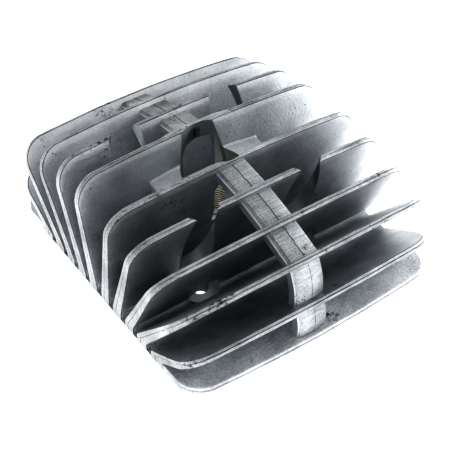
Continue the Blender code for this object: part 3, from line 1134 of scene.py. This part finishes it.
# %% Nut seats
# The second finish is the near-black one, painted shade on the wall of the hole.
SEAT_FINISHES = [faced_metal, dirt_and_painted_shade]
SEAT_RADIUS = NUT_RADIUS - 0.05
for place, centre in STUDS.items():
    hole = STUD_HOLE_RADIUS
    ring = [(hole, 0.5), (hole + 0.45, 0.0), (NUT_RADIUS - 0.25, 0.0), (SEAT_RADIUS, 0.6)]
    ring += [(SEAT_RADIUS, NUT_SEAT_Z), (hole + 0.4, NUT_SEAT_Z), (hole, NUT_SEAT_Z - 0.4)]
    seat = turned_ring("bored_seat_" + place, ring, centre, finish_of={0: 1, 6: 1, 4: 0})
    finish_piece(seat, "stud_seat_" + place, SEAT_FINISHES, crisp_degrees=25)
    print(seat.name, "at", centre)

# %% [markdown]
# Below, the joint face is a flat round land, and inside it the chamber rises as a shallow dome to
# the plug. The dome is cut on a lathe and follows a profile of its own; the side of the ring that
# is buried in the casting keeps the cast finish.

# %% Combustion chamber
CHAMBER = [
    (20.5, 0.6),
    (21.1, 0.0),
    (27.0, 0.0),
    (27.2, 0.3),
    (22.9, 0.3),
    (23.0, 4.3),
    (22.4, 6.0),
    (20.9, 8.1),
    (17.2, 12.1),
    (13.2, 15.3),
    (11.6, 16.6),
    (10.9, 17.2),
    (8.2, 17.2),
    (8.2, 11.4),
    (8.7, 11.0),
    (11.0, 10.4),
    (13.6, 9.3),
    (16.0, 7.6),
    (18.0, 5.5),
    (19.6, 3.0),
]
buried_segments = {index: 1 for index in range(4, 11)}
dome = turned_ring("machined_chamber", CHAMBER, PLUG_CENTRE, 128, buried_segments)
finish_piece(dome, "combustion_chamber", [faced_metal, cast_metal])
print("chamber:", len(dome.data.polygons), "faces")

# %% [markdown]
# The boss is the ring of metal round the plug thread. Its top is the face on which the plug's
# washer seals.

# %% Plug boss
BOSS = [
    (8.2, 17.0),
    (10.75, 17.0),
    (10.75, 23.9),
    (10.6, PLUG_SEAT_Z),
    (8.5, PLUG_SEAT_Z),
    (8.2, PLUG_SEAT_Z - 0.3),
]
boss = turned_ring("machined_plug_boss", BOSS, PLUG_CENTRE)
finish_piece(boss, "plug_boss", [faced_metal])
print("plug seat at z =", PLUG_SEAT_Z, "mm")

# %% [markdown]
# The thread is a real helix. It could be a profile swept along a spring, but a grid wrapped round the
# bore is simpler and stays closed: the radius follows a zigzag in height, and the zigzag climbs one
# pitch for each full turn. It fades out at both ends. The deep part takes a dark groove finish, which
# is painted shade in the groove.


# %% Thread insert
THREAD_MINOR = 6.35
THREAD_MAJOR = 7.05
THREAD_PITCH = 1.25
THREAD_BOTTOM = 11.6
THREAD_TOP = PLUG_SEAT_Z - 0.15
INSERT_RADIUS = 8.3
RUN_OUT = 0.8
GROOVE_SHARE = 0.45


def crest_share(z, turn):
    """1 on the crest of the thread and 0 at the bottom of its groove."""
    return abs(2 * ((z / THREAD_PITCH - turn) % 1.0) - 1)


def build_thread(segments=72, rows_per_pitch=8):
    bm = bmesh.new()
    length = THREAD_TOP - THREAD_BOTTOM
    rows = int(length / THREAD_PITCH * rows_per_pitch)
    rings = []
    for step in range(segments):
        turn = step / segments
        ring = []
        for row in range(rows + 1):
            z = THREAD_BOTTOM + length * row / rows
            fade = min(1.0, (THREAD_TOP - z) / RUN_OUT, (z - THREAD_BOTTOM) / RUN_OUT)
            depth = THREAD_MAJOR - THREAD_MINOR
            ring.append((THREAD_MAJOR - depth * crest_share(z, turn) * fade, z))
        ring += [(INSERT_RADIUS, THREAD_TOP), (INSERT_RADIUS, THREAD_BOTTOM)]
        x = math.cos(2 * math.pi * turn)
        y = math.sin(2 * math.pi * turn)
        rings.append([bm.verts.new((PLUG_X + r * x, r * y, z)) for r, z in ring])
    count = len(rings[0])
    for step in range(segments):
        near = rings[step]
        far = rings[(step + 1) % segments]
        for index in range(count):
            after = (index + 1) % count
            face = bm.faces.new((near[index], near[after], far[after], far[index]))
            middle = THREAD_BOTTOM + length * (index + 0.5) / rows
            in_groove = crest_share(middle, (step + 0.5) / segments) < GROOVE_SHARE
            # Faces in the groove take the dark finish that paints the groove's shade.
            face.material_index = 1 if in_groove and index < rows else 0
    return to_object("threaded_insert", bm)


insert = build_thread()
INSERT_FINISHES = [insert_metal, groove_painted_shade]
finish_piece(insert, "plug_thread_insert", INSERT_FINISHES, crisp_degrees=40)
print("thread:", len(insert.data.polygons), "faces")

# %% [markdown]
# Between the two middle fins the casting is solid up to three quarters of their height. Its top
# is slightly dished, with a thin raised lip along each fin, and its outer ends are rounded over.
# The web is lofted through stations along X, closer together where the end is rounded. The plug
# well then cuts it into a left and a right half.


# %% The centre web
WEB_TOP = 42.0
WEB_SAG = 1.9
WEB_MIDDLE = -1.5
WEB_HALF_LENGTH = 27.0
END_ROUNDING = 0.5
WEB_FOOT_HALF_WIDTH = 4.4
WEB_CLEARANCE = 0.9
WEB_SECTION = [
    (-1.0, 0.75),
    (-0.92, 0.8),
    (-0.84, -0.35),
    (-0.6, -0.6),
    (-0.3, -0.8),
    (0.0, -0.9),
    (0.3, -0.8),
    (0.6, -0.6),
    (0.84, -0.35),
    (0.92, 0.8),
    (1.0, 0.75),
]
WEB_STATIONS = [0.0, 0.15, 0.5, 1.2, 2.4, 5.0, 9.0, 13.0, 18.0]


def build_web(name, x_low, x_high, rounded_end):
    plane = FinPlane(6)
    bm = bmesh.new()
    foot_z = DECK_TOP - 0.5
    loops = []
    for station in WEB_STATIONS + [x_high - x_low]:
        drop = END_ROUNDING * max(0.0, 1 - station / END_ROUNDING) ** 2
        x = x_low + station if rounded_end == "left" else x_high - station
        top = WEB_TOP - WEB_SAG * ((x - WEB_MIDDLE) / WEB_HALF_LENGTH) ** 2 - drop
        reach = plane.point(top / plane.rise[1], 0.0)[0] - WEB_CLEARANCE
        loop = [bm.verts.new((x, share * reach, top + lip)) for share, lip in WEB_SECTION]
        loop.append(bm.verts.new((x, WEB_FOOT_HALF_WIDTH, foot_z)))
        loop.append(bm.verts.new((x, -WEB_FOOT_HALF_WIDTH, foot_z)))
        loops.append(loop)
    count = len(loops[0])
    for near, far in zip(loops, loops[1:]):
        for index in range(count):
            after = (index + 1) % count
            bm.faces.new((near[index], near[after], far[after], far[index]))
    bm.faces.new(loops[0])
    bm.faces.new(list(reversed(loops[-1])))
    return to_object(name, bm)


for end_name, low_x, high_x in (("left", -28.8, PLUG_X), ("right", PLUG_X, 25.9)):
    web = build_web("cast_web_" + end_name, low_x, high_x, end_name)
    finish_piece(web, "centre_web_" + end_name, FINISHES, [well_cutter])
    print(web.name, len(web.data.polygons), "faces")

# %% [markdown]
# The tie bar runs across the fins just below their rims and holds them to their pitch. Its left
# edge goes down in small steps, a rough strip lies along its middle, then comes a jagged parting
# line, and the right part is smooth. The section is a list of (x, depth) from left to right.

# %% The section of the tie bar
TIE_SECTION = [
    (-11.2, -5.0),
    (-11.2, -1.5),
    (-10.75, -1.05),
    (-10.6, -1.0),
    (-10.5, -0.62),
    (-9.9, -0.6),
    (-9.75, -0.12),
    (-9.4, 0.0),
    (-7.6, 0.02),
    (-7.4, -0.16),
    (-7.0, -0.14),
    (-3.9, -0.1),
    (-3.6, 0.0),
    (-3.42, -0.22),
    (-3.25, 0.02),
    (2.3, 0.0),
    (2.75, -0.12),
    (2.9, -0.5),
    (2.9, -5.0),
]
TIE_MIDDLE = (TIE_SECTION[0][0] + TIE_SECTION[-1][0]) / 2
TIE_HALF_WIDTH = (TIE_SECTION[-1][0] - TIE_SECTION[0][0]) / 2
PARTING_LINE = (12, 13, 14)
TIE_SKIN = {index: RIM for index in range(2, 17)}
# The groove in the parting line takes the near-black finish of dirt and painted shade.
TIE_SKIN[13] = DIRT_AND_SHADE
print("tie bar width:", round(2 * TIE_HALF_WIDTH, 1), "mm")

# %% [markdown]
# On the steep outer fins the bar is a rounded strap that bulges a little; between the others it
# keeps its flat top. One function turns the depth in the section into the depth of either kind.


# %% Flat bar and rounded strap
TIE_BELOW_RIM = 2.2
TIE_BITE = 0.6
TIE_BULGE = 1.5
STRAP_ROUNDING = 1.1
ROUGHNESS_DEPTH = 0.07
JAG = 0.35
ROUGH_STRIP = (-8.0, -3.5)
TIE_STEPS = 14


def tie_depth(index, x, depth, steep):
    if not steep or index in (0, len(TIE_SECTION) - 1):
        return depth
    return depth * 0.25 - STRAP_ROUNDING * abs((x - TIE_MIDDLE) / TIE_HALF_WIDTH) ** 5


strap_edge = tie_depth(17, TIE_SECTION[17][0], TIE_SECTION[17][1], True)
print("the strap's edge is", round(-strap_edge, 2), "mm lower than its middle")

# %% [markdown]
# Each length is lofted from one fin to the next and bites a little into both. Noise in the depth
# of the rough strip and in the line of the parting makes every length different. The two lengths
# beside the plug are cut by the plug well.


# %% Tie bars
def build_tie(name, inner_number, side):
    inner = FinPlane(inner_number)
    outer = FinPlane(inner_number - 1)
    steep = inner_number <= 3
    inner_top = inner.crown_height - TIE_BELOW_RIM
    outer_top = outer.crown_height - TIE_BELOW_RIM
    start = inner.point(inner_top, inner.thickness(inner_top) / 2 - TIE_BITE)
    end = outer.point(outer_top, TIE_BITE - outer.thickness(outer_top) / 2)
    span = math.hypot(end[0] - start[0], end[1] - start[1])
    up = (-(end[1] - start[1]) / span, (end[0] - start[0]) / span)
    bm = bmesh.new()
    loops = []
    for step in range(TIE_STEPS + 1):
        share = step / TIE_STEPS
        swell = (TIE_BULGE if steep else 0.0) * math.sin(math.pi * share)
        y = start[0] + (end[0] - start[0]) * share
        z = start[1] + (end[1] - start[1]) * share
        loop = []
        for index, (x, section_depth) in enumerate(TIE_SECTION):
            depth = tie_depth(index, x, section_depth, steep)
            jag = 0.0
            if index in PARTING_LINE:
                jag = JAG * noise.noise(Vector((y * 0.5, z * 0.5, 9.0)))
            rough = ROUGHNESS_DEPTH * noise.noise(Vector((x * 1.3, y * 0.9, z * 0.9)))
            in_strip = ROUGH_STRIP[0] < x < ROUGH_STRIP[1]
            lift = depth + swell + (rough if in_strip else rough * 0.3)
            spot = (x + jag, side * (y + up[0] * lift), z + up[1] * lift)
            loop.append(bm.verts.new(spot))
        loops.append(loop)
    count = len(TIE_SECTION)
    for near, far in zip(loops, loops[1:]):
        for index in range(count):
            after = (index + 1) % count
            face = bm.faces.new((near[index], near[after], far[after], far[index]))
            face.material_index = TIE_SKIN.get(index, CAST)
    bm.faces.new(loops[0])
    bm.faces.new(list(reversed(loops[-1])))
    return to_object(name, bm)


for side_name, side in (("rear", 1), ("front", -1)):
    for number in (6, 5, 4, 3, 2):
        node = "tie_bar_" + side_name + "_" + str(number) + "_to_" + str(number - 1)
        tie = build_tie("cast_" + node, number, side)
        finish_piece(tie, node, FINISHES, [well_cutter] if number == 6 else ())
        print(tie.name, len(tie.data.polygons), "faces")

# %% [markdown]
# The cutters have done their work and leave the scene, so that only the pieces of the head are
# left in it.

# %% Remove the cutters
for thing in [thing for thing in bpy.data.objects if thing.name.startswith("cutter_")]:
    bpy.data.objects.remove(thing, do_unlink=True)

# %% [markdown]
# The stage is a plain white floor. Bare metal shows what surrounds it, so the floor gives a little
# light of its own, as paper on a light table does, and the fins have something pale to mirror.

# %% Floor
FLOOR_GLOW = 0.75
bm = bmesh.new()
bmesh.ops.create_grid(bm, x_segments=2, y_segments=2, size=6000.0)
floor = to_object("floor", bm)
paper = bpy.data.materials.new("White paper floor")
paper.use_nodes = True
paper_shader = paper.node_tree.nodes["Principled BSDF"]
set_inputs(paper_shader, {"Base Color": (0.9, 0.9, 0.9, 1.0), "Roughness": 0.9})
set_inputs(paper_shader, {"Emission Color": (1.0, 1.0, 1.0, 1.0), "Emission Strength": FLOOR_GLOW})
floor.data.materials.append(paper)
print("floor glow:", FLOOR_GLOW)

# %% [markdown]
# The world is white and even, and still leaves the deep gaps between the fins dark. Two big soft
# lamps, low on the right and at the front right, send light along the gaps, so that the right ends
# of the fins turn bright and fade into the middle.

# %% World and lamps
ROOM_LIGHT = 0.60
LAMP_SIZE = 0.5
LAMP_AIM = (0.0, 0.0, 0.03)
world = bpy.data.worlds.new("Soft white room")
world.use_nodes = True
set_inputs(world.node_tree.nodes["Background"], {"Color": (1.0, 1.0, 1.0, 1.0)})
set_inputs(world.node_tree.nodes["Background"], {"Strength": ROOM_LIGHT})
bpy.context.scene.world = world


def soft_lamp(name, place, power):
    lamp = bpy.data.lights.new(name, "AREA")
    lamp.shape = "DISK"
    lamp.size = LAMP_SIZE
    lamp.energy = power
    holder = bpy.data.objects.new(name, lamp)
    holder.location = place
    aim = Vector(LAMP_AIM) - Vector(place)
    holder.rotation_mode = "QUATERNION"
    holder.rotation_quaternion = aim.to_track_quat("-Z", "Y")
    holder.visible_camera = False
    bpy.context.scene.collection.objects.link(holder)


soft_lamp("right lamp", (0.75, 0.05, 0.28), power=1.6)
soft_lamp("front lamp", (0.6, -0.45, 0.25), power=0.8)
print("world strength", ROOM_LIGHT, "and two lamps")

# %% [markdown]
# The camera looks down at about 43 degrees from the front left, as one would look at a part on a
# bench, with a lens long enough that the fins keep their proportions. The view's strong contrast
# makes the metal read as metal: pale edges against deep dark gaps.

# %% Camera
CAMERA_PLACE = (-198.03, -290.61, 334.97)
CAMERA_FORWARD = (0.41614, 0.60203, -0.68146)
CAMERA_ROLL = 0.45
lens_data = bpy.data.cameras.new("bench view")
lens_data.lens = 86.96
lens_data.sensor_width = 36.0
lens_data.clip_start = 0.01
camera = bpy.data.objects.new("bench view", lens_data)
forward = Vector(CAMERA_FORWARD).normalized()
turn = forward.to_track_quat("-Z", "Y").to_matrix()
roll = Matrix.Rotation(math.radians(CAMERA_ROLL), 3, forward)
camera_matrix = (roll @ turn).to_4x4()
camera_matrix.translation = Vector(CAMERA_PLACE) * MM
camera.matrix_world = camera_matrix
bpy.context.scene.collection.objects.link(camera)
bpy.context.scene.camera = camera
bpy.context.scene.view_settings.view_transform = "Standard"
bpy.context.scene.view_settings.look = "Very High Contrast"
print("camera distance:", round(camera_matrix.translation.length / MM), "mm")
